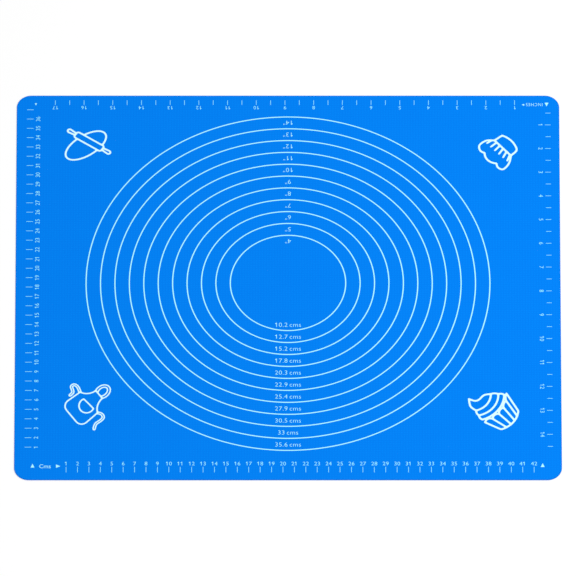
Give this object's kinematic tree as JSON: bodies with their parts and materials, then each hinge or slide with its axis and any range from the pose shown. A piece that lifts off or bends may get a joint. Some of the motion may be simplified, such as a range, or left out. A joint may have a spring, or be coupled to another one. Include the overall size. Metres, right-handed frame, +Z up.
{
  "type": "silicone pastry mat",
  "caption": "Flat rectangular baking mat with rounded corners, a blue silicone and glass cloth laminate printed with measuring rings, rulers along its edges and small kitchen drawings.",
  "frame": {"origin": "under the middle of the mat, on the surface that it lies on", "axes": "+X along the mat's length, the way its bottom centimetre scale counts; +Y across its width, the way its left centimetre scale counts; +Z up out of the printed face"},
  "size_m": [0.48, 0.41, 0.0008],
  "materials": {
    "blue_silicone": "matt",
    "glass_cloth": "woven",
    "white_ink": "matt"
  },
  "bodies": {
    "root": {"base_coat": "blue_silicone", "glass_cloth": "glass_cloth", "top_coat": "blue_silicone", "edge_seal": "blue_silicone", "ring_01": "white_ink", "ring_02": "white_ink", "ring_03": "white_ink", "ring_04": "white_ink", "ring_05": "white_ink", "ring_06": "white_ink", "ring_07": "white_ink", "ring_08": "white_ink", "ring_09": "white_ink", "ring_10": "white_ink", "ring_11": "white_ink", "arrow_cm_up": "white_ink", "arrow_cm_right": "white_ink", "arrow_cm_end": "white_ink", "arrow_inch_down": "white_ink", "arrow_inch_left": "white_ink", "arrow_inch_end": "white_ink", "rolling_pin_print": "white_ink", "baker_hat_print": "white_ink", "apron_print": "white_ink", "apron_pocket_print": "white_ink", "cupcake_print": "white_ink"}
  },
  "joints": []
}
